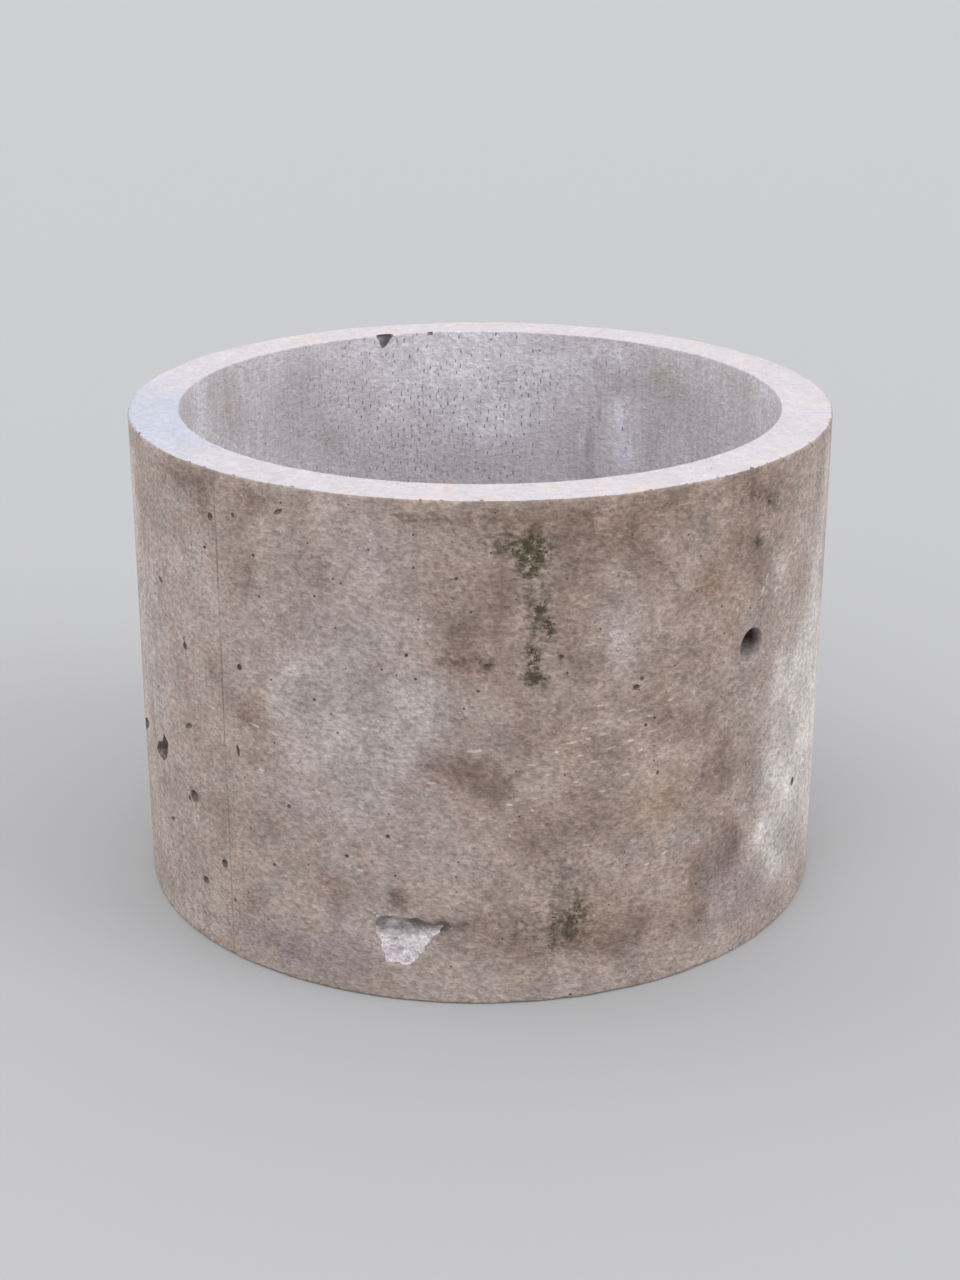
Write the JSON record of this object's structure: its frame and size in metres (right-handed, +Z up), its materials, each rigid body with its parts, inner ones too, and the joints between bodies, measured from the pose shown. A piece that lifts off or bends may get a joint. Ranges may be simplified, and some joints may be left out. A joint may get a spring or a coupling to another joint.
{
  "type": "concrete culvert ring",
  "caption": "Short wide precast concrete ring with plain butt ends and round lifting holes, weathered, chipped and pitted as found on site.",
  "frame": {"origin": "centre of the foot, on the ring's axis", "axes": "+Z up along the ring's axis, +X out through the lifting hole seen in the picture, -Y a quarter turn from it, about where the outer form's joint runs"},
  "size_m": [1.17, 1.17, 0.82],
  "materials": {
    "cast_concrete": "matte"
  },
  "bodies": {
    "root": {"culvert_ring": "cast_concrete"}
  },
  "joints": []
}
